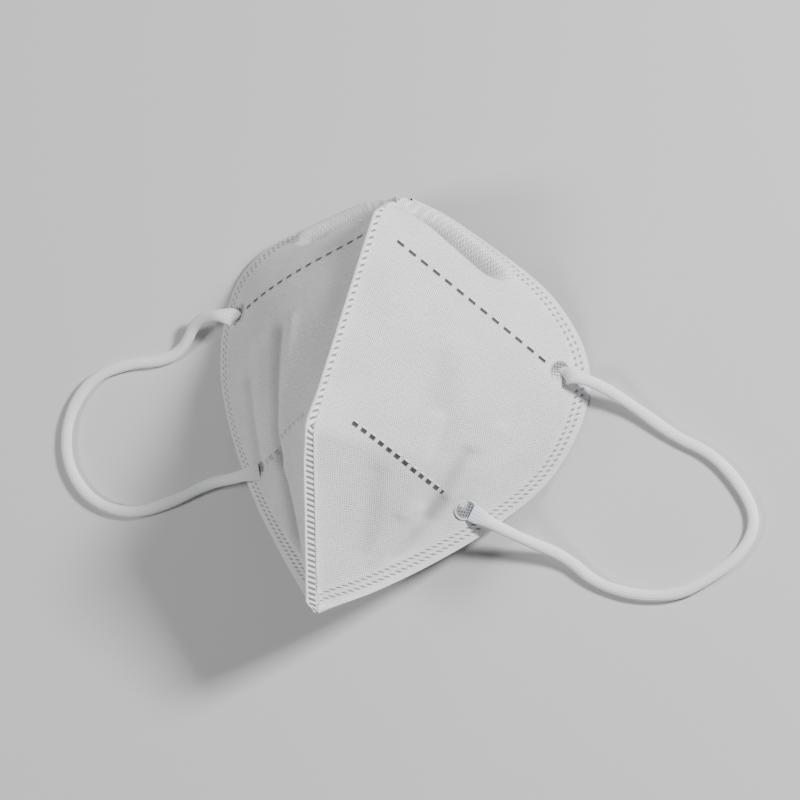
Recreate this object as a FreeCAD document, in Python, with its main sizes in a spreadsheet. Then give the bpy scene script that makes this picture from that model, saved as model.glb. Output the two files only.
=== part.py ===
"""A fold-flat disposable dust mask, opened and lying open side down.

The origin is the middle of the mask on the surface that its cheeks rest on. +Y runs from the chin to
the nose, +Z is up, out of the mask's front, and +X is to the right of someone who looks down on that
front with the nose away from them. Each half is five layers of fabric, fused into a band round the
open rim and into a fin along the middle seam. The right half is built, and the left half mirrors it.
"""
import FreeCAD
import Part
import Sketcher
import math
import os

Vector = FreeCAD.Vector

DIMENSIONS = {
    # the middle seam, from the chin over the peak to the top of the weld, then over the nose
    "centre_from_chin": 72.9,
    "chin_height": 40.0,
    "peak_along": 64.0,
    "peak_height": 71.0,
    "seam_top_along": 143.5,
    "seam_top_height": 46.4,
    "nose_along": 148.4,
    "nose_height": 23.4,
    "peak_rounding": 7.0,
    "nose_rounding": 9.0,
    "seam_half_gap": 1.2,
    # the fabric, its layers from the outside in, and the gap between two layers
    "cover_thickness": 0.35,
    "support_thickness": 0.4,
    "filter_thickness": 0.2,
    "lining_thickness": 0.25,
    "layer_gap": 0.25,
    "panel_bulge": 3.0,
    # the welds
    "edge_weld_width": 6.2,
    "edge_weld_thickness": 0.8,
    "fin_thickness": 0.9,
    "fin_width": 4.2,
    "fin_slant": 1.0,
    "loop_weld_diameter": 8.0,
    "loop_weld_thickness": 0.9,
    # the plastic-coated nose strip
    "strip_width": 3.6,
    "strip_thickness": 0.75,
    "strip_from_rim": 7.2,
    # the ear loops
    "cord_diameter": 3.0,
}

doc = FreeCAD.newDocument("dust_mask")
sheet = doc.addObject("Spreadsheet::Sheet", "Sizes")
for number, (alias, value) in enumerate(DIMENSIONS.items(), start=1):
    sheet.set(f"A{number}", alias)
    sheet.set(f"B{number}", str(value))
    sheet.setAlias(f"B{number}", alias)
doc.recompute()

nodes = []


def size(alias):
    """A driving dimension, read back from the sheet."""
    return float(sheet.get(alias))


def along(distance):
    """The Y of a place that many millimetres from the chin."""
    return distance - size("centre_from_chin")


# ---------------------------------------------------------------- the surface of the right half

ROWS = 201  # fine rows from the chin to the nose, by which places are found
ROW_STEP = 5  # every fifth row carries a row of a fabric's facets
COLUMNS = 9  # corners of facets from the seam to the rim
PROBE = 0.02  # how far across a row the surface's slope is taken
TOO_SHORT = 1e-3  # a reach or a normal shorter than this counts as none


def tangent_path(points, radii):
    """Straight runs through the points, joined by tangent arcs of the given radii."""
    edges = []
    start = points[0]
    for before, corner, after, radius in zip(points, points[1:], points[2:], radii):
        back = (before - corner).normalize()
        ahead = (after - corner).normalize()
        half_turn = (math.pi - back.getAngle(ahead)) / 2
        reach = radius * math.tan(half_turn)
        first = corner + back * reach
        last = corner + ahead * reach
        inward = (back + ahead).normalize()
        middle = corner + inward * (radius / math.cos(half_turn) - radius)
        edges.append(Part.LineSegment(start, first).toShape())
        edges.append(Part.Arc(first, middle, last).toShape())
        start = last
    edges.append(Part.LineSegment(start, points[-1]).toShape())
    return Part.Wire(edges)


def seam_corners(x):
    """The corners of the middle seam: chin, peak, top of the weld, and rim over the nose."""
    return [
        Vector(x, along(1.5), size("chin_height")),
        Vector(x, along(size("peak_along")), size("peak_height")),
        Vector(x, along(size("seam_top_along")), size("seam_top_height")),
        Vector(x, along(size("nose_along")), size("nose_height")),
    ]


def rim_curve():
    """The open rim of the right half, from the chin round the cheek to the nose."""
    corners = seam_corners(size("seam_half_gap"))
    through = [
        corners[0],
        Vector(15.5, along(12.0), 29.2),
        Vector(32.5, along(27.0), 16.8),
        Vector(48.5, along(43.5), 7.4),
        Vector(60.5, along(60.0), 1.6),
        Vector(67.5, along(77.0), 0.6),
        Vector(69.5, along(94.0), 0.6),
        Vector(65.5, along(111.0), 1.6),
        Vector(52.0, along(125.5), 5.0),
        Vector(30.0, along(137.5), 10.0),
        Vector(14.0, along(144.5), 16.0),
        corners[-1],
    ]
    curve = Part.BSplineCurve()
    curve.interpolate(through)
    return curve.toShape()


seam_wire = tangent_path(
    seam_corners(size("seam_half_gap")), [size("peak_rounding"), size("nose_rounding")]
)
seam_points = seam_wire.discretize(Number=ROWS)
rim_points = rim_curve().discretize(Number=ROWS)


def fraction(row):
    """How far a row lies from the chin, 0, to the nose, 1."""
    return row / (ROWS - 1)


def surface_point(row, across):
    """A point of the cover's outside: across is 0 at the seam and 1 at the rim."""
    seam, rim = seam_points[row], rim_points[row]
    straight = seam + (rim - seam) * across
    ahead = rim_points[min(row + 1, ROWS - 1)] - rim_points[max(row - 1, 0)]
    outward = (rim - seam).cross(ahead)
    if outward.Length < TOO_SHORT:
        return straight
    swell = math.sin(2 * math.pi * (fraction(row) - 0.4)) * size("panel_bulge")
    return straight + outward.normalize() * (swell * 4 * across * (1 - across))


def surface_normal(row, across):
    """The outward normal of the cover there."""
    below = surface_point(max(row - ROW_STEP, 0), across)
    above = surface_point(min(row + ROW_STEP, ROWS - 1), across)
    nearer = surface_point(row, max(across - PROBE, 0))
    farther = surface_point(row, min(across + PROBE, 1))
    return (farther - nearer).cross(above - below).normalize()


def reach(row):
    """The distance from the seam to the rim along a row."""
    return (rim_points[row] - seam_points[row]).Length


def from_rim(distance):
    """The place across each row that lies that far from the rim, square to it."""

    def place(row):
        line = rim_points[row] - seam_points[row]
        ahead = rim_points[min(row + 1, ROWS - 1)] - rim_points[max(row - 1, 0)]
        square_reach = line.cross(ahead.normalize()).Length
        return max(0.0, 1 - distance / max(square_reach, TOO_SHORT))

    return place


def triangles_between(one, other):
    """The two triangles that fill the gap between two edges, each a pair of points."""
    return [(one[0], one[1], other[1]), (one[0], other[1], other[0])]


def layer_solid(rows, inner_edge, outer_edge, depth, thickness, columns=COLUMNS):
    """A sheet of flat facets of the given thickness that follows the surface, that deep under it."""
    skins = []
    for level in (depth, depth + thickness):
        grid = []
        for row in rows:
            a, b = inner_edge(row), outer_edge(row)
            line = []
            for column in range(columns):
                across = a + (b - a) * column / (columns - 1)
                inward = surface_normal(row, across) * -level
                line.append(surface_point(row, across) + inward)
            grid.append(line)
        skins.append(grid)
    facets = []
    for grid, way in zip(skins, (1, -1)):
        for line, next_line in zip(grid, grid[1:]):
            for column in range(columns - 1):
                pair = triangles_between(line[column : column + 2], next_line[column : column + 2])
                facets += [corners[::way] for corners in pair]
    borders = []
    for grid in skins:
        sides = [line[-1] for line in grid[1:-1]], [line[0] for line in grid[-2:0:-1]]
        borders.append(grid[0] + sides[0] + grid[-1][::-1] + sides[1])
    outer, inner = borders
    for here in range(len(outer)):
        there = (here + 1) % len(outer)
        facets += triangles_between((outer[there], outer[here]), (inner[there], inner[here]))
    faces = [Part.Face(Part.makePolygon([*corners, corners[0]])) for corners in facets]
    shell = Part.makeShell(faces)
    shell.sewShape()
    solid = Part.Solid(shell)
    if solid.Volume < 0:
        solid.reverse()
    return solid


# ---------------------------------------------------------------- ways of making a node


def add_solid(label, shape):
    """A sub-part whose shape is worked out by Part's own functions."""
    feature = doc.addObject("Part::Feature", label)
    feature.Shape = shape
    feature.Placement = FreeCAD.Placement()
    feature.Label = label
    nodes.append(feature)
    return feature


def add_mirrored(label, source):
    """The left half's copy of a right sub-part."""
    feature = doc.addObject("Part::Mirroring", label)
    feature.Source = source
    feature.Normal = Vector(1, 0, 0)
    feature.Base = Vector(0, 0, 0)
    feature.Label = label
    nodes.append(feature)
    return feature


def polygon_sketch(body, corners):
    """A closed polygon on the body's XY plane, with each corner's place given by expressions."""
    sketch = body.newObject("Sketcher::SketchObject", f"{body.Label}_outline")
    plane = [item for item in body.Origin.OriginFeatures if item.Role == "XY_Plane"][0]
    sketch.AttachmentSupport = [(plane, "")]
    sketch.MapMode = "FlatFace"
    places = [[float(sketch.evalExpression(value)) for value in corner] for corner in corners]
    count = len(corners)
    for index in range(count):
        here, there = places[index], places[(index + 1) % count]
        sketch.addGeometry(Part.LineSegment(Vector(*here, 0), Vector(*there, 0)), False)
    for index in range(count):
        sketch.addConstraint(Sketcher.Constraint("Coincident", index, 2, (index + 1) % count, 1))
    for index, corner in enumerate(corners):
        for way, axis, expression, place in zip("XY", (-2, -1), corner, places[index]):
            if place == 0:
                sketch.addConstraint(Sketcher.Constraint("PointOnObject", index, 1, axis))
                continue
            kept = Sketcher.Constraint(f"Distance{way}", -1, 1, index, 1, place)
            number = sketch.addConstraint(kept)
            sketch.setExpression(f"Constraints[{number}]", expression)
    return sketch


def add_plate(label, corners, thickness_expression, placement):
    """A flat plate: a polygon, padded half to each side of its plane."""
    body = doc.addObject("PartDesign::Body", label)
    sketch = polygon_sketch(body, corners)
    pad = body.newObject("PartDesign::Pad", f"{label}_pad")
    pad.Profile = sketch
    pad.SideType = "Symmetric"
    pad.setExpression("Length", thickness_expression)
    body.Placement = placement
    body.Label = label
    nodes.append(body)
    return body


def place_near(x, y):
    """The row and the place across its outer half whose point is nearest to x, y in plan."""
    best = None
    for row in range(0, ROWS, 2):
        for percent in range(50, 100):
            point = surface_point(row, percent / 100)
            apart = math.hypot(point.x - x, point.y - y)
            if best is None or apart < best[0]:
                best = (apart, row, percent / 100)
    return best[1:]


def turned(point, first, second, third):
    """A placement at a point whose local X, Y and Z run along the three directions."""
    return FreeCAD.Placement(point, FreeCAD.Rotation(first, second, third, "ZXY"))


# ---------------------------------------------------------------- the five layers of each half

FABRICS = (
    # name, thickness, and how far from the rim it stops
    ("outer_cover", size("cover_thickness"), "weld"),
    ("support_layer", size("support_thickness"), "strip"),
    ("filter_layer_front", size("filter_thickness"), "strip"),
    ("filter_layer_back", size("filter_thickness"), "strip"),
    ("inner_lining", size("lining_thickness"), "weld"),
)
SEAM_CLEARANCE = 0.35
WELD_CLEARANCE = 0.3
WELD_SHORTEST = 4.0  # the rim's band stops where the seam is nearer than this
STRIP_CLEARANCE = 1.0
STRIP_START = 0.745  # where along the rim, from chin to nose, the nose strip's arm begins
STRIP_RAMP = 0.14  # over what part of the rim the inner layers draw back to give it room
ACROSS_STEP = 0.002  # how finely a place across a row is looked for
ACROSS_MOST = 0.9  # and how far across it the search goes
LAYER_NARROWEST = 3.0  # a layer has no row shorter than this between the seam and its edge
STRIP_NARROWEST = 1.2  # nor has the nose strip
WELD_COLUMNS = 5
STRIP_COLUMNS = 3


def beside_seam(depth):
    """The place across each row where a layer that deep is clear of the middle seam."""
    clear = size("fin_thickness") / 2 + SEAM_CLEARANCE

    def place(row):
        across = 0.0
        while across < ACROSS_MOST:
            inner = surface_point(row, across) - surface_normal(row, across) * depth
            if inner.x >= clear:
                break
            across += ACROSS_STEP
        return across

    return place


def at_rim(row):
    return 1.0


def at_weld(row):
    """The inner edge of the edge weld, less a small clearance."""
    return from_rim(size("edge_weld_width") + WELD_CLEARANCE)(row)


def at_strip(row):
    """The same, drawn back beside the nose to leave the nose strip its room."""
    near = size("edge_weld_width") + WELD_CLEARANCE
    far = size("strip_from_rim") + size("strip_width") + STRIP_CLEARANCE
    ramp = min(1.0, max(0.0, (fraction(row) - STRIP_START) / STRIP_RAMP + 1))
    return from_rim(near + (far - near) * ramp * ramp * (3 - 2 * ramp))(row)


def rows_with_room(outer_edge, narrowest):
    """The rows of a skin that are at least that wide between the seam and the layer's edge."""
    return [row for row in range(0, ROWS, ROW_STEP) if outer_edge(row) * reach(row) > narrowest]


depth = 0.0
for name, thickness, stop in FABRICS:
    edge = at_weld if stop == "weld" else at_strip
    rows = rows_with_room(edge, LAYER_NARROWEST)
    shape = layer_solid(rows, beside_seam(depth + thickness), edge, depth, thickness)
    right = add_solid(f"right_{name}", shape)
    add_mirrored(f"left_{name}", right)
    depth += thickness + size("layer_gap")

# ---------------------------------------------------------------- the welded rim and seams

weld_rows = [row for row in range(0, ROWS, ROW_STEP) if reach(row) > WELD_SHORTEST]
weld_thickness = size("edge_weld_thickness")


def weld_inner(row):
    """The inner edge of the rim's welded band, which runs into the middle at its two ends."""
    return max(from_rim(size("edge_weld_width"))(row), beside_seam(weld_thickness)(row))


edge_weld = layer_solid(weld_rows, weld_inner, at_rim, 0.0, weld_thickness, WELD_COLUMNS)
add_mirrored("left_edge_weld", add_solid("right_edge_weld", edge_weld))

chin, peak, seam_top, nose = seam_corners(0)
MIDDLE = Vector(1, 0, 0)
lower_way = (peak - chin).normalize()
upper_way = (seam_top - peak).normalize()
for alias, value in (
    ("lower_seam_length", (peak - chin).Length),
    ("upper_seam_length", (seam_top - peak).Length),
    ("peak_turn_degrees", math.degrees(lower_way.getAngle(upper_way))),
):
    row = len(sheet.getUsedCells()) // 2 + 1
    sheet.set(f"A{row}", alias)
    sheet.set(f"B{row}", f"{value:.4f}")
    sheet.setAlias(f"B{row}", alias)
doc.recompute()

mitre = "Sizes.fin_width * tan(Sizes.peak_turn_degrees / 2)"
add_plate(
    "lower_seam_weld",
    [
        ("0", "0"),
        ("Sizes.lower_seam_length", "0"),
        (f"Sizes.lower_seam_length + {mitre}", "Sizes.fin_width"),
        ("-1 * Sizes.fin_slant", "Sizes.fin_width"),
    ],
    "Sizes.fin_thickness",
    turned(chin, lower_way, MIDDLE.cross(lower_way), MIDDLE),
)
add_plate(
    "upper_seam_weld",
    [
        ("0", "0"),
        ("Sizes.upper_seam_length", "0"),
        ("Sizes.upper_seam_length - Sizes.fin_slant", "Sizes.fin_width"),
        (f"-1 * {mitre}", "Sizes.fin_width"),
    ],
    "Sizes.fin_thickness",
    turned(peak, upper_way, MIDDLE.cross(upper_way), MIDDLE),
)

# ---------------------------------------------------------------- the nose strip

strip_depth = size("cover_thickness") + 2 * size("layer_gap")
strip_outer = from_rim(size("strip_from_rim"))


def strip_inner(row):
    """The strip's inner edge, which runs into the middle where the strip crosses the nose."""
    square = from_rim(size("strip_from_rim") + size("strip_width"))
    return max(square(row), beside_seam(strip_depth + size("strip_thickness"))(row))


strip_rows = [
    row
    for row in weld_rows
    if fraction(row) >= STRIP_START
    and (strip_outer(row) - strip_inner(row)) * reach(row) > STRIP_NARROWEST
]
strip_arm = layer_solid(
    strip_rows, strip_inner, strip_outer, strip_depth, size("strip_thickness"), STRIP_COLUMNS
)
add_mirrored("left_nose_strip_arm", add_solid("right_nose_strip_arm", strip_arm))

STRIP_BEND = Vector(0, along(145.7), 30.6)  # the lower corner of its outer side
add_plate(
    "nose_strip_bend",
    [
        ("0", "0"),
        ("Sizes.strip_width", "0"),
        ("Sizes.strip_width", "Sizes.strip_thickness"),
        ("0", "Sizes.strip_thickness"),
    ],
    "Sizes.fin_thickness",
    turned(STRIP_BEND, (seam_top - nose).normalize(), MIDDLE.cross(seam_top - nose), MIDDLE),
)

# ---------------------------------------------------------------- the ear loops and their welds

LOOP_WELDS = {"upper": Vector(61.0, along(99.0), 0), "lower": Vector(39.0, along(46.0), 0)}
LOOP_WELD_LIFT = 0.3

for name, spot in LOOP_WELDS.items():
    row, across = place_near(spot.x, spot.y)
    up = surface_normal(row, across)
    side_way = up.cross(Vector(0, 0, 1)).normalize()
    weld = doc.addObject("Part::Cylinder", f"right_{name}_loop_weld")
    weld.setExpression("Radius", "Sizes.loop_weld_diameter / 2")
    weld.setExpression("Height", "Sizes.loop_weld_thickness")
    foot = surface_point(row, across) + up * LOOP_WELD_LIFT
    weld.Placement = turned(foot, side_way, up.cross(side_way), up)
    weld.Label = f"right_{name}_loop_weld"
    nodes.append(weld)
    add_mirrored(f"left_{name}_loop_weld", weld)

# Each route runs from just past the upper weld, out over the rim, round on the surface and back.
CORD_REST = size("cord_diameter") / 2
EAR_LOOPS = {
    "right": [
        Vector(65.6, 25.2, 12.2),
        Vector(75.5, 23.8, 7.4),
        Vector(88.5, 18.0, 2.4),
        Vector(104.5, 10.6, CORD_REST),
        Vector(118.5, 7.4, CORD_REST),
        Vector(131.0, -1.0, CORD_REST),
        Vector(140.0, -12.5, CORD_REST),
        Vector(136.5, -25.0, CORD_REST),
        Vector(125.5, -36.2, CORD_REST),
        Vector(115.0, -43.5, CORD_REST),
        Vector(99.5, -45.8, CORD_REST),
        Vector(84.5, -44.0, CORD_REST),
        Vector(72.5, -36.8, 2.4),
        Vector(57.5, -33.6, 8.4),
        Vector(45.0, -29.2, 16.6),
    ],
    "left": [
        Vector(-66.2, 24.6, 11.8),
        Vector(-80.3, 21.4, 5.8),
        Vector(-84.6, 10.6, 2.0),
        Vector(-91.5, 4.6, CORD_REST),
        Vector(-106.5, 0.9, CORD_REST),
        Vector(-118.8, -6.6, CORD_REST),
        Vector(-125.0, -21.5, CORD_REST),
        Vector(-121.8, -38.0, CORD_REST),
        Vector(-109.5, -49.2, CORD_REST),
        Vector(-93.0, -50.8, CORD_REST),
        Vector(-78.5, -43.6, CORD_REST),
        Vector(-64.5, -34.2, 2.8),
        Vector(-54.2, -31.8, 9.6),
        Vector(-44.8, -28.8, 16.8),
    ],
}


def cord_tube(route):
    """A round tube along the route, each arc as large as its two runs allow."""
    radii = []
    for before, corner, after in zip(route, route[1:], route[2:]):
        turn = (corner - before).getAngle(after - corner)
        shorter = min((corner - before).Length, (after - corner).Length)
        radii.append(0.45 * shorter / math.tan(turn / 2))
        ahead = (after - corner).Length
        print(f"  run ahead {ahead:.1f}, turn {math.degrees(turn):.0f}, radius {radii[-1]:.1f}")
    path = tangent_path(route, radii)
    radius = size("cord_diameter") / 2
    start = (route[1] - route[0]).normalize()
    ring = Part.Wire([Part.makeCircle(radius, route[0], start)])
    tube = path.makePipeShell([ring], True, False)
    swept = math.pi * radius**2 * path.Length
    print(f"  length {path.Length:.1f}, volume {tube.Volume:.1f} against {swept:.1f}")
    return tube


for side, route in EAR_LOOPS.items():
    print(side, "ear loop")
    add_solid(f"{side}_ear_loop", cord_tube(route))

# ---------------------------------------------------------------- checks and files

doc.recompute()
for feature in doc.Objects:
    if {"Invalid", "Error"} & set(feature.State):
        raise RuntimeError(f"{feature.Label} failed")
for node in nodes:
    if node.Shape.isNull() or not node.Shape.isValid() or node.Shape.Volume <= 0:
        raise RuntimeError(f"{node.Label} has no valid solid")
os.makedirs("parts", exist_ok=True)
for node in nodes:
    node.Shape.exportStep(f"parts/{node.Label}.step")
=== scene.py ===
"""The looks of a fold-flat dust mask that lies open side down, with its ear loops out to the sides.

Sizes are in millimetres until a piece is made: MM turns them into metres.
"""
import math

import bmesh
import bpy
import numpy as np
from mathutils import Matrix, Vector
from mathutils.geometry import interpolate_bezier


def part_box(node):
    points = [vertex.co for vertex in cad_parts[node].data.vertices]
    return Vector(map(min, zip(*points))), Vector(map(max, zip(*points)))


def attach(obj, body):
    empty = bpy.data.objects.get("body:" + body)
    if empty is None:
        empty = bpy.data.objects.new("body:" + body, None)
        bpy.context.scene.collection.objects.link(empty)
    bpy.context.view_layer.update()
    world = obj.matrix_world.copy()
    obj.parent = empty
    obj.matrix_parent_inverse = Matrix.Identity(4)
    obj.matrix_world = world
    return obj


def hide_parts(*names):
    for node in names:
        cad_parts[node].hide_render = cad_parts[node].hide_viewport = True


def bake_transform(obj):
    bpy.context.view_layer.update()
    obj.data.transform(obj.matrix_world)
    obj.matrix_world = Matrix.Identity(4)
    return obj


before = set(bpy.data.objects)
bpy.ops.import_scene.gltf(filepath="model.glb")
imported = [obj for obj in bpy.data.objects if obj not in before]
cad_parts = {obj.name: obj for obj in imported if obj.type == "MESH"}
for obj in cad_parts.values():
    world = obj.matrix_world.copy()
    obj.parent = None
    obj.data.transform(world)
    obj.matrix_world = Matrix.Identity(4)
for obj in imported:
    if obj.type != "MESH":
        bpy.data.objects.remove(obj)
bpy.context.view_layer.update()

MM = 0.001

# ---------------------------------------------------------------- the camera

VIEW_SIDE = math.radians(23.5)  # how far to the right of straight above the camera stands
VIEW_ROLL = math.radians(10.4)
VIEW_DISTANCE = 4.0
VIEW_WIDTH = 0.2768  # how much of the scene the picture takes in at the mask
VIEW_AIM = Vector((0.0124, 0.0060, 0.030))
FILM_WIDTH = 36.0
SIGHT_LIMIT = 20.0


def set_camera():
    toward = Vector((math.sin(VIEW_SIDE), 0, math.cos(VIEW_SIDE)))
    level = Vector((math.cos(VIEW_SIDE), 0, -math.sin(VIEW_SIDE)))
    chin_to_nose = Vector((0, 1, 0))
    right_way = level * math.cos(VIEW_ROLL) + chin_to_nose * math.sin(VIEW_ROLL)
    up_way = chin_to_nose * math.cos(VIEW_ROLL) - level * math.sin(VIEW_ROLL)
    lens = bpy.data.cameras.new("camera")
    lens.sensor_width = FILM_WIDTH
    lens.lens = FILM_WIDTH * VIEW_DISTANCE / VIEW_WIDTH
    lens.clip_end = SIGHT_LIMIT
    camera = bpy.data.objects.new("camera", lens)
    turn = Matrix((right_way, up_way, toward)).transposed().to_4x4()
    camera.matrix_world = Matrix.Translation(VIEW_AIM + toward * VIEW_DISTANCE) @ turn
    bpy.context.scene.collection.objects.link(camera)
    bpy.context.scene.camera = camera


set_camera()

# ---------------------------------------------------------------- shader expressions


class Value:
    """A shader socket that takes part in Python expressions: each operator adds a Math node."""

    def __init__(self, finish, socket):
        self.finish = finish
        self.socket = socket

    def math(self, operation, *others):
        sockets = dict(enumerate([self, *others]))
        return self.finish.node("ShaderNodeMath", {"operation": operation}, sockets)

    def __add__(self, other):
        return self.math("ADD", other)

    def __sub__(self, other):
        return self.math("SUBTRACT", other)

    def __rsub__(self, other):
        return self.math("MULTIPLY", -1.0).math("ADD", other)

    def __mul__(self, other):
        return self.math("MULTIPLY", other)

    __radd__ = __add__
    __rmul__ = __mul__


class Finish:
    """A material made of nodes, with one Principled shader."""

    def __init__(self, name, roughness, **constants):
        self.material = bpy.data.materials.new(name)
        self.material.use_nodes = True
        self.tree = self.material.node_tree
        self.shader = self.tree.nodes["Principled BSDF"]
        self.shader.inputs["Roughness"].default_value = roughness
        for socket, value in constants.items():
            self.shader.inputs[socket.replace("_", " ")].default_value = value

    def feed(self, socket, value):
        if isinstance(value, Value):
            self.tree.links.new(value.socket, socket)
        else:
            socket.default_value = value

    def node(self, kind, settings, sockets, output=0):
        """A node of that kind: its settings, then a value or link for each socket, by place or name."""
        made = self.tree.nodes.new(kind)
        for key, value in settings.items():
            setattr(made, key, value)
        for key, value in sockets.items():
            self.feed(made.inputs[key], value)
        return Value(self, made.outputs[output])

    def attribute(self, name):
        """The three numbers of a piece's vector attribute, as separate values."""
        vector = self.node("ShaderNodeAttribute", {"attribute_name": name}, {}, output=1)
        return [self.node("ShaderNodeSeparateXYZ", {}, {0: vector}, output=i) for i in range(3)]

    def vector(self, x, y):
        return self.node("ShaderNodeCombineXYZ", {}, {"X": x, "Y": y})

    def object_place(self):
        return self.node("ShaderNodeTexCoord", {}, {}, output=3)

    def noise(self, place, scale=1.0, detail=2.0, roughness=0.5):
        sockets = {"Vector": place, "Scale": scale, "Detail": detail, "Roughness": roughness}
        return self.node("ShaderNodeTexNoise", {}, sockets)

    def share(self, value, low, high):
        """0 at low, 1 at high, and in proportion between."""
        return self.node("ShaderNodeMapRange", {}, {0: value, 1: low, 2: high, 3: 0.0, 4: 1.0})

    def fade(self, value, full, none):
        """1 up to full, 0 from none on, and smooth between."""
        settings = {"interpolation_type": "SMOOTHSTEP"}
        return self.node("ShaderNodeMapRange", settings, {0: value, 1: full, 2: none, 3: 1.0, 4: 0.0})

    def mix(self, factor, first, second):
        """A colour between two: the colour sockets of the Mix node are its sixth and seventh."""
        sockets = {0: factor, 6: first, 7: second}
        return self.node("ShaderNodeMix", {"data_type": "RGBA"}, sockets, output=2)

    def color(self, value):
        self.feed(self.shader.inputs["Base Color"], value)

    def rough(self, value):
        self.feed(self.shader.inputs["Roughness"], value)

    def bump(self, height, distance):
        """Raises the surface by the height times the distance in millimetres."""
        sockets = {"Strength": 1.0, "Distance": distance * MM, "Height": height}
        self.feed(self.shader.inputs["Normal"], self.node("ShaderNodeBump", {}, sockets))


# ---------------------------------------------------------------- the mask's own sizes

CHIN = (-71.4, 40.0)  # corners of the middle seam, as distance towards the nose and height
PEAK = (-8.9, 71.0)
SEAM_TOP = (70.6, 46.4)
NOSE = (75.5, 23.4)
PEAK_ROUNDING = 7.0
NOSE_ROUNDING = 9.0
RIM = [  # the open rim of the right half, from the chin round the cheek to the nose
    (0.0, *CHIN),
    (15.5, -60.9, 29.2),
    (32.5, -45.9, 16.8),
    (48.5, -29.4, 7.4),
    (60.5, -12.9, 1.6),
    (67.5, 4.1, 0.6),
    (69.5, 21.1, 0.6),
    (65.5, 38.1, 1.6),
    (52.0, 52.6, 5.0),
    (30.0, 64.6, 10.0),
    (14.0, 71.6, 16.0),
    (0.0, *NOSE),
]
BULGE = 3.0  # how far a panel swells between the seam and the rim
BULGE_START = 0.4  # where along the rim the swelling changes sides
BAND = 7.2  # the pressed border, measured in from the rim
BAND_THICKNESS = 0.8
COVER_THICKNESS = 0.35
LAYERS = {  # depth of the outer face under the cover's, and thickness
    "support_layer": (0.60, 0.40),
    "filter_layer_front": (1.25, 0.20),
    "filter_layer_back": (1.70, 0.20),
    "inner_lining": (2.15, 0.25),
}
STRIP_DEPTH = 0.85
STRIP_THICKNESS = 0.75
STRIP_HALF_WIDTH = 1.8
STRIP_SPAN = (0.752, 0.962)  # where along the rim the nose strip's arm runs
WIRE_FROM_RIM = 9.0
FIN_WIDTH = 4.2
FIN_THICKNESS = 0.9
PAD_RADIUS = 4.0
PAD_THICKNESS = 0.5
SIDES = {"right": 1, "left": -1}


def ease(value):
    """0 below 0, 1 above 1, and smooth between."""
    value = np.clip(value, 0, 1)
    return value * value * (3 - 2 * value)


def hill(distance, width):
    return np.exp(-((distance / width) ** 2))


def unit(vectors):
    return vectors / np.maximum(np.linalg.norm(vectors, axis=-1, keepdims=True), 1e-9)


def distances(line):
    """How far along the line each of its points is."""
    return np.concatenate(([0], np.cumsum(np.linalg.norm(np.diff(line, axis=0), axis=1))))


def evenly(points, count=1201):
    """The same line as evenly spaced points."""
    points = np.array(points, float)
    gone = distances(points)
    where = np.linspace(0, gone[-1], count)
    return np.stack([np.interp(where, gone, column) for column in points.T], axis=1)


def rounded(before, corner, after, radius):
    """The curve that rounds a corner, as points."""
    before, corner, after = (np.array(p, float) for p in (before, corner, after))
    come = unit(corner - before)
    leave = unit(after - corner)
    cut = radius * math.tan(math.acos(come @ leave) / 2)
    steps = np.linspace(0, 1, 24)[:, None]
    start, end = corner - come * cut, corner + leave * cut
    return start * (1 - steps) ** 2 + corner * 2 * steps * (1 - steps) + end * steps**2


def through(points):
    """A smooth curve through the points, each span with 40 steps."""
    ends = [Vector(p) for p in points]
    ends = [ends[0] * 2 - ends[1], *ends, ends[-1] * 2 - ends[-2]]
    line = []
    for before, start, end, after in zip(ends, ends[1:], ends[2:], ends[3:]):
        leave, come = (end - before) / 6, (after - start) / 6
        line += interpolate_bezier(start, start + leave, end - come, end, 40)
    return [tuple(p) for p in line]


def on_line(line, fraction):
    """Points at those fractions of an evenly spaced line."""
    spot = np.clip(fraction, 0, 1) * (len(line) - 1)
    low = np.minimum(spot.astype(int), len(line) - 2)
    share = (spot - low)[..., None]
    return line[low] * (1 - share) + line[low + 1] * share


seam_profile = np.concatenate(
    (
        [CHIN],
        rounded(CHIN, PEAK, SEAM_TOP, PEAK_ROUNDING),
        rounded(PEAK, SEAM_TOP, NOSE, NOSE_ROUNDING),
        [NOSE],
    )
)
seam_line = evenly(np.insert(seam_profile, 0, 0.0, axis=1))
rim_line = evenly(through(RIM))
rim_ahead = unit(np.gradient(rim_line, axis=0))


def skin(fraction, across):
    """The cover's plain outer surface on the right half.

    fraction runs along the rim from the chin to the nose, and across from the seam, 0, to the rim, 1.
    """
    seam, rim, ahead = (on_line(line, fraction) for line in (seam_line, rim_line, rim_ahead))
    span = rim - seam
    swell = BULGE * np.sin(2 * np.pi * (fraction - BULGE_START)) * 4 * across * (1 - across)
    return seam + span * across[..., None] + unit(np.cross(span, ahead)) * swell[..., None]


def outward(fraction, across):
    """The direction that the plain surface faces."""
    step = 0.004
    inner = np.clip(fraction, step, 1 - step)
    across = np.clip(across, step, 1 - step)
    to_rim = skin(inner, across + step) - skin(inner, across - step)
    to_nose = skin(inner + step, across) - skin(inner - step, across)
    return unit(np.cross(to_rim, to_nose))


def span_length(fraction):
    return np.linalg.norm(on_line(rim_line, fraction) - on_line(seam_line, fraction), axis=-1)


def reach(fraction):
    """How far the seam is from the rim, square to the rim."""
    span = on_line(rim_line, fraction) - on_line(seam_line, fraction)
    return np.maximum(np.linalg.norm(np.cross(span, on_line(rim_ahead, fraction)), axis=-1), 1e-3)


def across_at(fraction, from_rim):
    return np.clip(1 - from_rim / reach(fraction), 0, 1)


# ---------------------------------------------------------------- relief of the two halves

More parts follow.
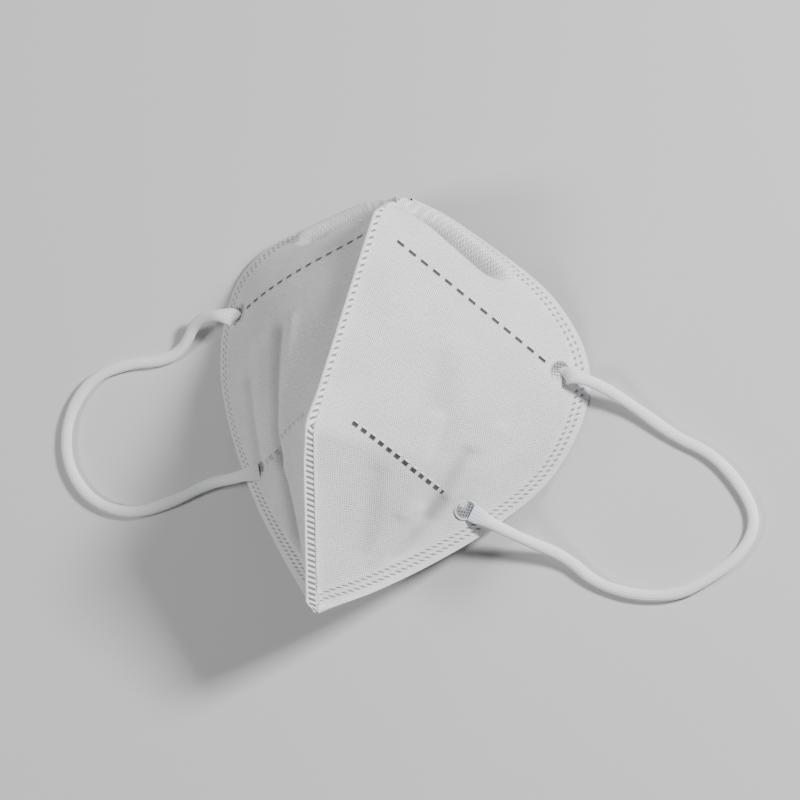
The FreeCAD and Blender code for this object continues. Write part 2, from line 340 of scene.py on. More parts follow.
FOLDS = [  # half, its two ends seen from above, half its width, and its height: a hollow is below 0
    ("right", (30, 22), (33, -8), 5.0, -0.5),
    ("right", (40, -8), (29, -32), 2.2, -1.0),
    ("right", (31, 2), (22, -32), 2.4, 0.9),
    ("right", (47, 2), (38, -26), 2.8, 0.9),
    ("right", (33, -26), (20, -48), 2.0, -0.9),
    ("right", (26, -30), (14, -50), 2.2, 0.8),
    ("right", (16, -20), (12, -48), 3.0, -0.7),
    ("left", (-36, 22), (-27, -22), 2.8, -1.5),
    ("left", (-27, -22), (-14, -56), 2.6, -1.7),
    ("left", (-44, 16), (-34, -22), 3.6, 1.1),
    ("left", (-28, 26), (-19, -24), 3.2, 0.9),
    ("left", (-50, 2), (-40, -26), 3.0, -0.9),
    ("left", (-20, -24), (-9, -52), 2.8, 0.7),
]
WIRE_START = 0.735  # where along the rim the wire's relief begins
RIDGE = (2.2, WIRE_FROM_RIM, 2.3)  # height, distance from the rim, half width
HOLLOW = (-3.8, 13.7, 2.4)
GROOVE = (-0.9, 6.0, 0.7)
HOLLOW_ROOM = 15.0  # the hollow fades where the seam is nearer to the rim than this
SWAY_NOSE = 3.4  # how far the soft rim lies over to the left, beside the nose and on the left cheek
SWAY_CHEEK = 2.4
SEAM_LIP = 0.9  # how far the cover rises where it turns up into a fin
SEAM_LIP_WIDTH = 1.8
SEAM_GAP = 0.4  # from the middle to the cover beside a fin
FIN_END = 0.93  # where along the seam the fins end and the two covers meet
PAD_DENT = 0.45


def pad_middle(side, level):
    """The middle of a loop pad, in millimetres."""
    return np.array(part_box(f"{side}_{level}_loop_weld")).mean(axis=0) / MM


def fold_height(side, places):
    height = np.zeros(len(places))
    for half, start, end, width, rise in FOLDS:
        if half == side:
            start, run = np.array(start, float), np.subtract(end, start)
            share = np.clip(((places[:, :2] - start) @ run) / (run @ run), 0, 1)
            gap = np.linalg.norm(places[:, :2] - start - share[:, None] * run, axis=1)
            height += rise * hill(gap, width)
    return height


def wire_height(fraction, from_rim):
    """The ridge over the nose wire, with a hollow on its inner side and a groove on its outer side."""
    (ridge, ridge_at, ridge_width), (hollow, hollow_at, hollow_width) = RIDGE, HOLLOW
    groove, groove_at, groove_width = GROOVE
    present = ease((fraction - WIRE_START) / 0.03)
    clear = ease((reach(fraction) - HOLLOW_ROOM) / 8)
    raised = ridge * np.exp(-(((from_rim - ridge_at) / ridge_width) ** 4))
    sunk = hollow * hill(from_rim - hollow_at, hollow_width) * clear
    return present * (raised + sunk + groove * hill(from_rim - groove_at, groove_width))


def sway(side, fraction, across, places):
    """How far the soft rim lies off to the left of where the seam's own symmetry would put it."""
    nose_end = ease((places[:, 1] - 20) / 26)
    cheek = ease((places[:, 1] + 64) / 24) * (1 - nose_end)
    shift = SWAY_NOSE * nose_end + (SWAY_CHEEK * cheek if side == "left" else 0)
    return shift * across**2 * ease(fraction / 0.1) * ease((1 - fraction) / 0.13)


def half_surface(side, fraction, across, depth, outside=True):
    """Points of that half's surface at that depth. Only the outside has the wire's ridge and the lips."""
    way = np.array([SIDES[side], 1, 1])
    places = skin(fraction, across) * way
    facing = outward(fraction, across) * way
    from_rim = (1 - across) * reach(fraction)
    from_seam = across * span_length(fraction)
    beside_fin = ease((FIN_END - fraction) / 0.02)
    height = fold_height(side, places) * ease(from_seam / 12) * ease((from_rim - 4) / 8)
    over_wire = wire_height(fraction, from_rim)
    height += over_wire if outside else np.minimum(over_wire, 0)
    if outside:
        height += SEAM_LIP * np.clip(1 - from_seam / SEAM_LIP_WIDTH, 0, 1) ** 2 * beside_fin
        for level in ("upper", "lower"):
            from_pad = np.linalg.norm(places - pad_middle(side, level), axis=1)
            height -= PAD_DENT * ease(1.6 - from_pad / PAD_RADIUS)
    shift = sway(side, fraction, across, places)
    places = places + facing * (height - depth)[:, None]
    places[:, 0] -= shift
    gap = SEAM_GAP * beside_fin if outside else 0.05
    places[:, 0] = SIDES[side] * np.maximum(places[:, 0] * SIDES[side], gap)
    return places


# ---------------------------------------------------------------- making pieces

CRISP = math.radians(40)  # an edge that turns more than this stays sharp


def grid(name, columns, rows):
    """A grid, with how far each of its points is across it and along it, from 0 to 1."""
    made = bmesh.new()
    bmesh.ops.create_grid(made, x_segments=columns, y_segments=rows, size=0.5)
    mesh = bpy.data.meshes.new(name)
    made.to_mesh(mesh)
    made.free()
    across, along = read(mesh)[:, :2].T + 0.5
    return mesh, across, along


def read(mesh, attribute="position"):
    """A vector of each point of the mesh."""
    values = np.empty(len(mesh.vertices) * 3, np.float32)
    mesh.attributes[attribute].data.foreach_get("vector", values)
    return values.reshape(-1, 3)


def place(mesh, points):
    mesh.vertices.foreach_set("co", (np.asarray(points) * MM).astype(np.float32).ravel())
    mesh.update()


def note(mesh, name, *numbers):
    """Keeps three numbers for each point, for the material and for later shaping."""
    numbers = [*numbers, np.zeros(len(mesh.vertices)), np.zeros(len(mesh.vertices))][:3]
    made = mesh.attributes.new(name, "FLOAT_VECTOR", "POINT")
    made.data.foreach_set("vector", np.stack(numbers, axis=1).astype(np.float32).ravel())


def linked(data):
    holder = bpy.data.objects.new("holder", data)
    bpy.context.scene.collection.objects.link(holder)
    return holder


def settled(holder):
    """The mesh that an object shows with its modifiers applied. The object goes."""
    shown = holder.evaluated_get(bpy.context.evaluated_depsgraph_get())
    mesh = bpy.data.meshes.new_from_object(shown)
    bpy.data.objects.remove(holder)
    return mesh


def thicken(mesh, thickness, offset):
    """The sheet as a closed solid: offset -1 puts the thickness under it, and 0 half on each side."""
    holder = linked(mesh)
    wall = holder.modifiers.new("wall", "SOLIDIFY")
    wall.thickness = thickness * MM
    wall.offset = offset
    solid = settled(holder)
    name = mesh.name
    bpy.data.meshes.remove(mesh)
    solid.name = name
    return solid


def press(mesh, depth):
    """Moves each point inwards by its depth, in millimetres."""
    normals = np.empty(len(mesh.vertices) * 3, np.float32)
    mesh.vertex_normals.foreach_get("vector", normals)
    place(mesh, read(mesh) / MM - normals.reshape(-1, 3) * np.asarray(depth)[:, None])


def close_seams(mesh, facing=None, fill=False):
    """Merges the points that meet where a grid is bent round on itself, and turns its faces outwards."""
    made = bmesh.new()
    made.from_mesh(mesh)
    bmesh.ops.remove_doubles(made, verts=made.verts, dist=1e-6)
    if fill:
        bmesh.ops.holes_fill(made, edges=[e for e in made.edges if e.is_boundary], sides=0)
    bmesh.ops.recalc_face_normals(made, faces=made.faces)
    made.faces.ensure_lookup_table()
    if facing is not None and made.faces[0].normal @ facing < 0:
        bmesh.ops.reverse_faces(made, faces=made.faces)
    made.to_mesh(mesh)
    made.free()


def piece(mesh, finish, node):
    """A finished piece of the mesh, in the place of that CAD node."""
    mesh.shade_smooth()
    mesh.set_sharp_from_angle(angle=CRISP)
    made = bpy.data.objects.new(mesh.name, mesh)
    bpy.context.scene.collection.objects.link(made)
    mesh.materials.clear()
    mesh.materials.append(finish.material)
    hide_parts(node)
    return made


def turn_out(mesh, side):
    if side == "left":
        mesh.flip_normals()


def blend_half(made):
    """Bakes the piece's place into its mesh."""
    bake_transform(made)


# ---------------------------------------------------------------- finishes

COVER_WHITE = (0.93, 0.93, 0.93, 1)
COVER_SHADE = (0.56, 0.56, 0.57, 1)
# Painted highlight for the lips beside the dashes.
LIP_PAINTED_HIGHLIGHT = (0.97, 0.97, 0.97, 1)
# Painted shade for the cover's hollows.
PAINTED_CREASE_SHADE = (0.16, 0.16, 0.17, 1)
# Painted shade for the dashes' pressed grooves.
DASH_PAINTED_SHADE = (0.02, 0.02, 0.022, 1)
BOND_ROW = 0.85  # from one row of bond points to the next
BOND_STEP = 0.72  # from one bond point to the next in its row


def fabric(name, white, shade, roughness, points, fuzz):
    """Spun-bonded fabric: rows of tiny bond points and a felt of fine fibres, on the piece's lay.

    Gives the finish with the fabric's tone, a colour, and its pattern, a height.
    """
    made = Finish(name, roughness, Sheen_Weight=0.25, Sheen_Roughness=0.6)
    aside, ahead, _ = made.attribute("lay")
    wander = made.noise(made.vector(aside, ahead), scale=0.35, detail=3.0)
    aside = aside + (wander - 0.5) * 0.5
    row = (ahead * (1 / BOND_ROW)).math("FLOOR")
    spot = aside * (1 / BOND_STEP) + row.math("MODULO", 2.0) * 0.5
    dot_aside = (spot - spot.math("FLOOR") - 0.5) * BOND_STEP
    dot_ahead = (ahead * (1 / BOND_ROW) - row - 0.5) * BOND_ROW
    far = ((dot_aside * 4.6).math("POWER", 2.0) + (dot_ahead * 2.0).math("POWER", 2.0)).math("SQRT")
    dot = made.fade(far, 0.35, 1.0)
    fibres = made.noise(made.vector(aside * 3.2, ahead * 0.9), detail=4.0, roughness=0.65)
    felt = made.noise(made.vector(aside * 1.3, ahead * 0.8), scale=1.1, detail=4.0, roughness=0.7)
    cloud = made.noise(made.vector(aside, ahead), scale=0.06, detail=3.0)
    pattern = (fibres * 0.6 + felt * 0.4) * fuzz - dot * points
    shades = fibres * 0.5 + felt * 0.6 + cloud * 0.25 - dot * 0.3
    return made, made.mix(made.share(shades, 0.36, 0.76), shade, white), pattern


def dashes(finish, start, end, pitch, length, width):
    """A dashed weld from start to end: where the fabric is pressed, and the lip beside it. The cover
    paints shade on the first and a highlight on the second.
    """
    aside, ahead, _ = finish.attribute("lay")
    run = Vector(end) - Vector(start)
    way = run.normalized()
    along = (aside - start[0]) * way.x + (ahead - start[1]) * way.y
    beside = (ahead - start[1]) * way.x - (aside - start[0]) * way.y
    turn = along * (1 / pitch) + 0.5
    centred = (turn - turn.math("FLOOR") - 0.5) * pitch
    there = along.math("GREATER_THAN", -pitch / 2) * along.math("LESS_THAN", run.length + pitch / 2)
    ends = finish.fade(centred.math("ABSOLUTE"), length / 2 - 0.25, length / 2 + 0.15)
    sides = finish.fade(beside.math("ABSOLUTE"), width / 2 - 0.3, width / 2 + 0.2)
    lip = finish.fade((beside - (width / 2 + 0.35)).math("ABSOLUTE"), 0.15, 0.55)
    return ends * sides * there, ends * lip * there


UPPER_DASHES = ((-25.0, 59.1), (28.7, 29.1), 5.2, 3.0, 1.1)
LOWER_DASHES = ((-34.6, -5.1), (3.5, -22.6), 4.0, 2.4, 1.5)
FAINT_DASHES = 0.3  # how much of the lower dashes, the painted shade of their grooves included, shows on the left half


def cover_fabric():
    made, tone, pattern = fabric("spunbond_cover", COVER_WHITE, COVER_SHADE, 0.85, 0.5, 0.5)
    upper_dash, upper_lip = dashes(made, *UPPER_DASHES)
    lower_dash, lower_lip = dashes(made, *LOWER_DASHES)
    pressed = upper_dash + lower_dash * made.attribute("lay")[2]
    raised = upper_lip + lower_lip
    # Painted highlight: the lips beside the dashes are mixed towards a lighter white.
    tone = made.mix(raised * 0.8, tone, LIP_PAINTED_HIGHLIGHT)
    # Painted shade: the cover is darkened towards grey in the hollows of the folds and beside the nose
    # wire.
    tone = made.mix(made.attribute("hollow_painted_shade")[0], tone, PAINTED_CREASE_SHADE)
    # Painted shade: the dashes' grooves are painted near black. Their roughness and bump are the pressing
    # itself.
    made.color(made.mix(pressed, tone, DASH_PAINTED_SHADE))
    made.rough(0.85 - pressed * 0.35)
    made.bump(pattern * 0.6 - pressed + raised * 0.4, 0.7)
    return made


def dented_fabric(name, white, shade, dent_painted_shade, roughness, points, fuzz, worn, height):
    """Fused fabric, with painted shade darkening its dents, which are also smoother than the rest."""
    made, tone, pattern = fabric(name, white, shade, roughness, points, fuzz)
    dent = made.attribute("dents")[0]
    made.color(made.mix(dent, tone, dent_painted_shade))
    made.rough(worn - dent * 0.3)
    made.bump(pattern, height)
    return made


def border_fabric():
    # Painted shade for the border's dents.
    white, shade, dent_painted_shade = (0.90, 0.90, 0.91, 1), (0.62, 0.62, 0.64, 1), (0.24, 0.245, 0.26, 1)
    return dented_fabric("pressed_border", white, shade, dent_painted_shade, 0.7, 0.5, 0.9, 0.8, 0.25)


def fin_fabric():
    # Painted shade for the fin's ticks.
    white, shade, dent_painted_shade = (0.93, 0.93, 0.94, 1), (0.72, 0.73, 0.75, 1), (0.17, 0.175, 0.19, 1)
    return dented_fabric("pressed_fin", white, shade, dent_painted_shade, 0.6, 0.2, 0.4, 0.7, 0.05)


def hidden_fabric(name, white, shade, roughness, points, fuzz, height):
    made, tone, pattern = fabric(name, white, shade, roughness, points, fuzz)
    made.color(tone)
    made.bump(pattern, height)
    return made


def lining_fabric():
    white, shade = (0.82, 0.82, 0.81, 1), (0.70, 0.70, 0.69, 1)
    return hidden_fabric("soft_lining", white, shade, 0.9, 0.25, 0.8, 0.05)


def wadding():
    white, shade = (0.84, 0.84, 0.82, 1), (0.70, 0.70, 0.68, 1)
    return hidden_fabric("support_wadding", white, shade, 0.95, 0.0, 1.0, 0.15)


def filter_felt():
    white, shade = (0.86, 0.87, 0.88, 1), (0.76, 0.77, 0.79, 1)
    return hidden_fabric("filter_felt", white, shade, 0.7, 0.1, 0.6, 0.04)


def pad_plastic():
    """Fused fabric and elastic, with a grid of dots darkened by painted shade, and a paler lip."""
    pale, dark = (0.30, 0.32, 0.36, 1), (0.22, 0.24, 0.27, 1)
    made, tone, pattern = fabric("welded_pad", pale, dark, 0.45, 0.0, 0.4)
    mark, lip, _ = made.attribute("dents")
    # Painted shade: the pressed dots are painted near black.
    tone_with_shaded_dots = made.mix(mark, tone, (0.05, 0.055, 0.065, 1))
    made.color(made.mix(lip * 0.8, tone_with_shaded_dots, COVER_WHITE))
    made.rough(0.5 + lip * 0.3)
    made.bump(pattern, 0.04)
    return made


def knitted_elastic():
    """Fourteen wales round the cord, with a row of stitches every 0.62 mm."""
    made = Finish("knitted_elastic", 0.8, Sheen_Weight=0.3, Sheen_Roughness=0.5)
    around, along, _ = made.attribute("lay")
    wales = (around * (2 * math.pi * 14)).math("SINE")
    stitch = ((along * (1 / 0.62) + wales * 0.18) * (2 * math.pi)).math("SINE")
    knit = made.share(wales * 0.6 + stitch * 0.4, -1.0, 1.0)
    yarn = made.noise(made.vector(around * 40, along * 3), detail=3.0)
    made.color(made.mix(knit * 0.6 + yarn * 0.4, (0.74, 0.75, 0.77, 1), (0.90, 0.90, 0.91, 1)))
    made.bump(knit * 0.8 + yarn * 0.2, 0.14)
    return made


def wire_coating():
    made = Finish("nose_wire_coating", 0.35)
    grain = made.noise(made.object_place(), scale=900.0, detail=3.0)
    made.color(made.mix(grain, (0.78, 0.78, 0.78, 1), (0.86, 0.86, 0.86, 1)))
    made.rough(0.3 + grain * 0.2)
    made.bump(grain, 0.02)
    return made


# ---------------------------------------------------------------- the layers of the two halves

# Painted shade darkens the cover in the hollows of the folds and beside the nose wire: how deep a hollow
# must be for the full amount, and the most that it gets.
NEAR_BORDER = 7.0  # over this width the layers draw together towards the border
CREASE_DEPTH = 3.2  # a hollow this deep would get the full painted shade
HOLLOW_DEPTH = 5.0
DARKEST_PAINTED_SHADE = 0.62


def lay_of(fraction, across):
    """Where each point is on the fabric: away from the middle, and towards the nose, in millimetres."""
    places = skin(fraction, across)
    return (places[:, 0] - places[:, 2]) * math.sqrt(0.5), places[:, 1]


def first_and_last(from_rim):
    """The fractions at the chin and the nose ends where the seam is just that far from the rim."""
    fractions = np.linspace(0, 1, 2001)
    wide = fractions[reach(fractions) > from_rim * 1.04]
    return wide[0], wide[-1]


def painted_shade_in_hollows(side, fraction, across):
    """How much painted shade darkens the cover in the hollows of the folds and beside the nose wire."""
    places = skin(fraction, across) * np.array([SIDES[side], 1, 1])
    from_rim = (1 - across) * reach(fraction)
    sunk = -fold_height(side, places) * ease((from_rim - 4) / 8) / CREASE_DEPTH
    return np.clip(sunk - wire_height(fraction, from_rim) / HOLLOW_DEPTH, 0, DARKEST_PAINTED_SHADE)


def half_sheet(name, side, columns, rows, depth, thickness, from_rim):
    """A layer of one half from the seam to that distance from the rim."""
    outside = depth < COVER_THICKNESS
    mesh, across, along = grid(f"{name}_{side}", columns, rows)
    start, end = first_and_last(from_rim)
    fraction = start + (end - start) * along
    across = across * across_at(fraction, from_rim)
    if not outside:
        near_rim = 1 - ease(((1 - across) * reach(fraction) - from_rim) / NEAR_BORDER)
        depth = COVER_THICKNESS + (depth - COVER_THICKNESS) * (1 - 0.75 * near_rim)
    place(mesh, half_surface(side, fraction, across, depth, outside))
    if outside:
        # Painted shade for the cover's hollows.
        note(mesh, "hollow_painted_shade", painted_shade_in_hollows(side, fraction, across))
    shown = 1.0 if side == "right" else FAINT_DASHES
    note(mesh, "lay", *lay_of(fraction, across), np.full(len(across), shown))
    turn_out(mesh, side)
    return thicken(mesh, thickness, -1)


def panel_area():
    """The area of one half's panel, in square metres, measured along the skin."""
    fraction, across = np.meshgrid(np.linspace(0, 1, 401), np.linspace(0, 1, 201), indexing="ij")
    places = skin(fraction, across) * MM
    over = np.diff(places, axis=1)[:-1]
    along = np.diff(places, axis=0)[:, :-1]
    return np.linalg.norm(np.cross(over, along), axis=-1).sum()


def outer_cover(side, finish):
    cover = half_sheet("outer_cover", side, 110, 300, 0.0, COVER_THICKNESS, BAND)
    cover = piece(cover, finish, f"{side}_outer_cover")
    blend_half(cover)
    return cover


def inner_layer(side, name, finish, fine):
    depth, thickness = LAYERS[name]
    layer = half_sheet(name, side, 40 * fine, 110 * fine, depth, thickness, BAND + 0.1)
    layer = piece(layer, finish, f"{side}_{name}")
    blend_half(layer)


# ---------------------------------------------------------------- the pressed border

DENT_PITCH = 2.25
DENT_ROWS = ((2.7, 0.0), (5.0, 0.5))  # distance from the rim, and how far along the pitch the row starts
DENT_SLANT = 0.45
DENT_HALF = (0.52, 0.62)  # along the border and across it
DENT_DEPTH = 0.3


def pressed_border(side, finish):
    """The band where the layers are fused, with two rows of small slanted dents."""
    mesh, across, along = grid(f"pressed_border_{side}", 30, 760)
    from_rim = np.minimum(BAND, reach(along) * 0.999) * (1 - across)
    across = across_at(along, from_rim)
    place(mesh, half_surface(side, along, across, BAND_THICKNESS / 2))
    note(mesh, "lay", *lay_of(along, across))
    note(mesh, "border", along * distances(rim_line)[-1], from_rim)
    turn_out(mesh, side)
    mesh = thicken(mesh, BAND_THICKNESS, 0)
    along, from_rim, _ = read(mesh, "border").T
    dent = np.zeros(len(along))
    for row, start in DENT_ROWS:
        off = ((along + (from_rim - row) * DENT_SLANT) / DENT_PITCH + start) % 1 - 0.5
        far = np.hypot(off * DENT_PITCH / DENT_HALF[0], (from_rim - row) / DENT_HALF[1])
        dent = np.maximum(dent, ease(1.5 - far))
    press(mesh, dent * DENT_DEPTH)
    note(mesh, "dents", dent)
    band = piece(mesh, finish, f"{side}_edge_weld")
    blend_half(band)


def make_halves():
    cover, border = cover_fabric(), border_fabric()
    lining, felt = lining_fabric(), filter_felt()
    layers = [
        ("support_layer", wadding(), "support", 1),
        ("filter_layer_front", felt, "filter", 1),
        ("filter_layer_back", felt, "filter", 1),
        ("inner_lining", lining, "lining", 2),
    ]
    area = panel_area()
    for side in SIDES:
        outer = outer_cover(side, cover)
        for name, finish, slot, fine in layers:
            inner_layer(side, name, finish, fine)
        pressed_border(side, border)


# ---------------------------------------------------------------- the middle seam's fins

LEAN = {"lower": math.radians(38), "upper": math.radians(8)}  # how far a fin is bent over
TICK_PITCH = {"lower": 2.1, "upper": 2.6}
TICK_SLANT = 0.6
TICK_HALF = 0.42
TICK_DEPTH = 0.32
FIN_FOOT = 0.12  # how much of its width a fin reaches down below the seam


def fin(level, first, last, finish):
    """A fin along the seam line's points from first to last, with its slanted ticks."""
    mesh, up, along = grid(f"{level}_fin", 22, 380)
    spot = (first + (last - first) * along) / (len(seam_line) - 1)
    base = on_line(seam_line, spot)
    ahead = unit(on_line(seam_line, spot + 0.01) - on_line(seam_line, spot - 0.01))
    stand = np.cross([1.0, 0, 0], ahead)
    gone = np.interp(spot, np.linspace(0, 1, len(seam_line)), distances(seam_line))
    from_peak = np.abs(gone - distances(seam_line)[np.argmax(seam_line[:, 2])])
    middle = (LEAN["lower"] + LEAN["upper"]) / 2
    lean = middle + (LEAN[level] - middle) * ease(from_peak / 14)
    stand = stand * np.cos(lean)[:, None] - np.array([1.0, 0, 0]) * np.sin(lean)[:, None]
    from_nose = ease((1 - along) / 0.05) if level == "upper" else 1.0
    from_chin = ease(along / 0.07) if level == "lower" else 1.0
    width = FIN_WIDTH * (0.4 + 0.6 * from_nose) * (0.25 + 0.75 * from_chin)
    place(mesh, base + stand * ((up - FIN_FOOT) * width)[:, None])
    note(mesh, "lay", up * FIN_WIDTH, from_peak)
    note(mesh, "border", from_peak, up * FIN_WIDTH)
    mesh = thicken(mesh, FIN_THICKNESS, 0)
    along, up, _ = read(mesh, "border").T
    pitch = TICK_PITCH[level]
    off = ((along + TICK_SLANT * up) / pitch) % 1 - 0.5
    tick = ease(1.6 - np.abs(off) * pitch / TICK_HALF) * ease((up - 0.5) / 0.5) * ease((3.7 - up) / 0.4)
    press(mesh, tick * TICK_DEPTH)
    note(mesh, "dents", tick)
    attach(piece(mesh, finish, f"{level}_seam_weld"), "seam")


def make_fins():
    peak = int(np.argmax(seam_line[:, 2]))
    top = int(np.argmin(np.linalg.norm(seam_line[:, 1:] - np.array(SEAM_TOP), axis=1)))
    finish = fin_fabric()
    fin("lower", 2, peak, finish)
    fin("upper", peak, top, finish)


# ---------------------------------------------------------------- loop pads, nose wire

LIP_AT = 3.7
MARK_PITCH = 1.1
MARK_RADIUS = 0.34
MARKS_TO = 3.0  # the dots stop at this distance from the middle


def nearest(side, spot):
    """The fraction and across of the plain surface's point nearest to a spot."""
    along, over = np.linspace(0.02, 0.98, 400), np.linspace(0, 1, 200)
    fraction, across = (spots.ravel() for spots in np.meshgrid(along, over))
    places = skin(fraction, across) * np.array([SIDES[side], 1, 1])
    best = np.argmin(np.linalg.norm(places - spot, axis=1))
    return fraction[best : best + 1], across[best : best + 1]


def loop_pad(side, level, finish):
    """A round pad with a lip and a grid of dots. Gives its foot and the direction that it faces."""
    spot = nearest(side, pad_middle(side, level))
    facing = Vector(outward(*spot)[0] * [SIDES[side], 1, 1])
    foot = Vector(half_surface(side, *spot, 0.0)[0])
    mesh, turn_share, out_share = grid(f"loop_pad_{side}_{level}", 64, 26)
    angle = turn_share * 2 * math.pi
    to_nose = (Vector((0, 1, 0)) - facing * facing.y).normalized()
    aside = facing.cross(to_nose)
    radius = out_share * PAD_RADIUS
    x, y = radius * np.cos(angle), radius * np.sin(angle)
    lip = ease(1.3 - np.abs(radius - LIP_AT) / 0.3)
    off = [((v / MARK_PITCH + 0.5) % 1 - 0.5) for v in (x, y)]
    marks = ease(1.5 - np.hypot(*off) * MARK_PITCH / MARK_RADIUS) * (radius < MARKS_TO)
    rise = 0.15 + 0.3 * lip - 0.18 * marks - 0.5 * ease((radius - LIP_AT) / 0.3)
    place(mesh, np.array(foot) + np.outer(x, aside) + np.outer(y, to_nose) + np.outer(rise, facing))
    note(mesh, "dents", marks, lip)
    note(mesh, "lay", x, y)
    close_seams(mesh, facing=facing)
    pad = piece(thicken(mesh, PAD_THICKNESS, -1), finish, f"{side}_{level}_loop_weld")
    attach(pad, f"{side}_half")
    return foot, facing


def nose_strip(side, finish):
    """The half of the coated nose strip that lies in the layers beside the nose."""
    mesh, across, along = grid(f"nose_strip_{side}", 8, 90)
    start, end = STRIP_SPAN
    fraction = start + (end - start) * along
    round_end = np.sqrt(np.clip(1 - np.clip(1 - along / 0.03, 0, 1) ** 2, 0, 1))
    from_rim = WIRE_FROM_RIM + STRIP_HALF_WIDTH * (1 - 2 * across) * np.maximum(round_end, 0.15)
    strip_across = across_at(fraction, from_rim)
    place(mesh, half_surface(side, fraction, strip_across, STRIP_DEPTH, False))
    turn_out(mesh, side)
    strip = piece(thicken(mesh, STRIP_THICKNESS, -1), finish, f"{side}_nose_strip_arm")
    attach(strip, f"{side}_half")


def make_pads():
    finish = pad_plastic()
    return {side: [loop_pad(side, level, finish) for level in ("upper", "lower")] for side in SIDES}


def make_nose_strip():
    finish = wire_coating()
    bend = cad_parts["nose_strip_bend"]
    bend.data.materials.clear()
    bend.data.materials.append(finish.material)
    for side in SIDES:
        nose_strip(side, finish)


# ---------------------------------------------------------------- ear loops

ELASTIC_WIDTH = 4.1
ELASTIC_THICKNESS = 2.9
FLARE = 2.3  # how much wider the elastic is where it is pressed onto its pad
FLATTENING = 0.72
FLARE_LENGTH = 9.0
ROUTES = {
    "right": (
        203.5,
        [
            (65.6, 25.2, 12.2), (75.5, 23.8, 7.4), (88.5, 18.0, 2.4), (104.5, 10.6, 1.5),
            (118.5, 7.4, 1.5), (131.0, -1.0, 1.5), (140.0, -12.5, 1.5), (136.5, -25.0, 1.5),
            (125.5, -36.2, 1.5),
            (115.0, -43.5, 1.5), (99.5, -45.8, 1.5), (84.5, -44.0, 1.5), (72.5, -36.8, 2.4),
            (57.5, -33.6, 8.4), (45.0, -29.2, 16.6),
        ],
    ),
    "left": (
        187.1,
        [
            (-66.2, 24.6, 11.8), (-80.3, 21.4, 5.8), (-84.6, 10.6, 2.0), (-91.5, 4.6, 1.5),
            (-106.5, 0.9, 1.5), (-118.8, -6.6, 1.5), (-125.0, -21.5, 1.5), (-121.8, -38.0, 1.5),
            (-109.5, -49.2, 1.5), (-93.0, -50.8, 1.5), (-78.5, -43.6, 1.5), (-64.5, -34.2, 2.8),
            (-54.2, -31.8, 9.6), (-44.8, -28.8, 16.8),
        ],
    ),
}


def smooth_route(points):
    """The points, in metres, of one smooth curve with the route's points as its control points."""
    curve = bpy.data.curves.new("route", "CURVE")
    curve.dimensions = "3D"
    line = curve.splines.new("NURBS")
    line.points.add(len(points) - 1)
    for spot, point in zip(line.points, points):
        spot.co = (*(v * MM for v in point), 1)
    line.order_u = 3
    line.use_endpoint_u = True
    line.resolution_u = 24
    mesh = settled(linked(curve))
    path = read(mesh).astype(float)
    bpy.data.curves.remove(curve)
    bpy.data.meshes.remove(mesh)
    return path


def on_pad(pad, leave):
    """Where the elastic begins on a pad that it leaves towards a point."""
    foot, facing = pad
    away = Vector(leave) - foot
    away = (away - facing * away.dot(facing)).normalized()
    return tuple(foot + facing * 0.6 + away * 2.4)


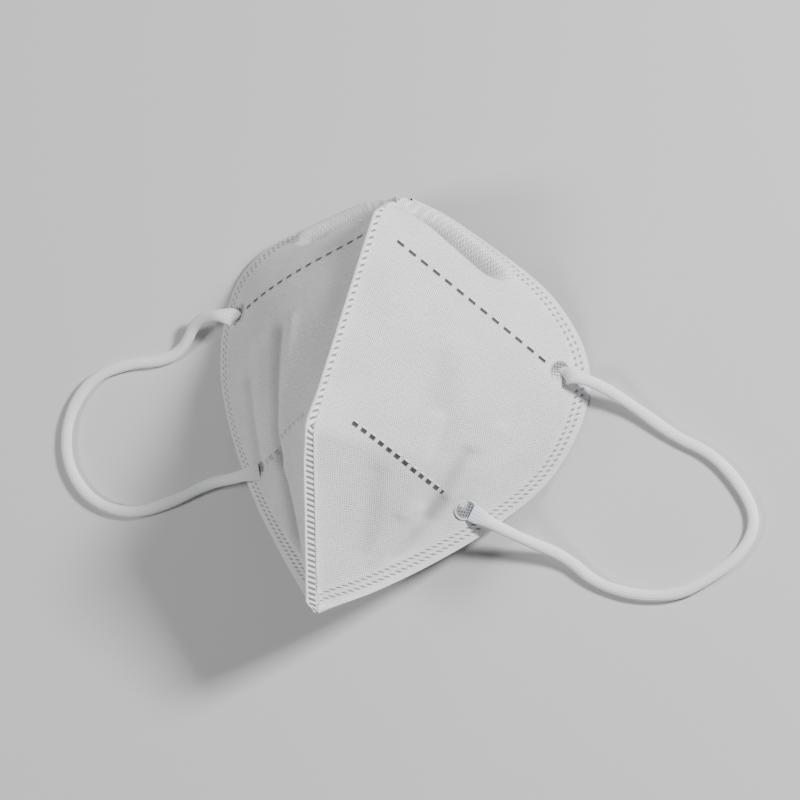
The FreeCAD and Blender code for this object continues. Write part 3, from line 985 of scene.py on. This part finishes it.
def ear_elastic(side, pads, finish):
    """The knitted elastic, round along its way and pressed flat on its two pads."""
    length, route = ROUTES[side]
    upper, lower = pads
    path = evenly(smooth_route([on_pad(upper, route[0]), *route, on_pad(lower, route[-1])]), 481)
    mesh, around, along = grid(f"ear_elastic_{side}", 32, 480)
    line = path / MM
    ahead = unit(np.gradient(line, axis=0))
    gone = distances(line)
    near_upper, near_lower = (1 - ease(d / FLARE_LENGTH) for d in (gone, gone[-1] - gone))
    up = np.array([0.0, 0, 1]) + np.outer(near_upper * 3, upper[1]) + np.outer(near_lower * 3, lower[1])
    beside = unit(np.cross(ahead, up))
    up = np.cross(beside, ahead)
    flat = near_upper + near_lower
    uneven = 0.12 * np.sin(gone / 5.3) + 0.1 * np.sin(gone / 2.9 + 1.3)
    half_width = (ELASTIC_WIDTH + FLARE * flat + uneven) / 2
    half_height = ELASTIC_THICKNESS * (1 - FLATTENING * flat) / 2
    row = np.rint(along * 480).astype(int)
    angle = around * 2 * math.pi
    over = beside[row] * (np.cos(angle) * half_width[row])[:, None]
    place(mesh, line[row] + over + up[row] * (np.sin(angle) * half_height[row])[:, None])
    note(mesh, "lay", around, gone[row])
    close_seams(mesh, fill=True)
    loop = piece(mesh, finish, f"{side}_ear_loop")
    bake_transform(loop)


def make_ear_loops(pads):
    finish = knitted_elastic()
    for side in ROUTES:
        ear_elastic(side, pads[side], finish)


# ---------------------------------------------------------------- floor and light


def floor():
    made = bmesh.new()
    bmesh.ops.create_grid(made, x_segments=2, y_segments=2, size=3.0)
    mesh = bpy.data.meshes.new("floor")
    made.to_mesh(mesh)
    made.free()
    plane = bpy.data.objects.new("floor", mesh)
    bpy.context.scene.collection.objects.link(plane)
    paint = Finish("pale_floor", 0.8)
    spots = paint.noise(paint.object_place(), scale=3.0)
    paint.color(paint.mix(spots, (0.60, 0.60, 0.61, 1), (0.63, 0.63, 0.64, 1)))
    mesh.materials.append(paint.material)


def lamp(name, place, power, size):
    light = bpy.data.lights.new(name, "AREA")
    light.energy = power
    light.size = size
    made = bpy.data.objects.new(name, light)
    aim = Vector(place) - Vector((0, 0, 0.03))
    made.matrix_world = Matrix.Translation(place) @ aim.to_track_quat("Z", "Y").to_matrix().to_4x4()
    bpy.context.scene.collection.objects.link(made)


def room_light(strength):
    world = bpy.data.worlds.new("room")
    world.use_nodes = True
    background = world.node_tree.nodes["Background"]
    background.inputs["Color"].default_value = (1.0, 1.0, 1.0, 1)
    background.inputs["Strength"].default_value = strength
    bpy.context.scene.world = world


# ---------------------------------------------------------------- the whole mask

make_halves()
make_fins()
loop_pads = make_pads()
make_nose_strip()
make_ear_loops(loop_pads)
floor()
lamp("key", (1.0, 0.62, 0.78), 36.0, 0.22)
lamp("fill", (-0.9, -0.3, 1.0), 9.0, 0.4)
room_light(0.15)
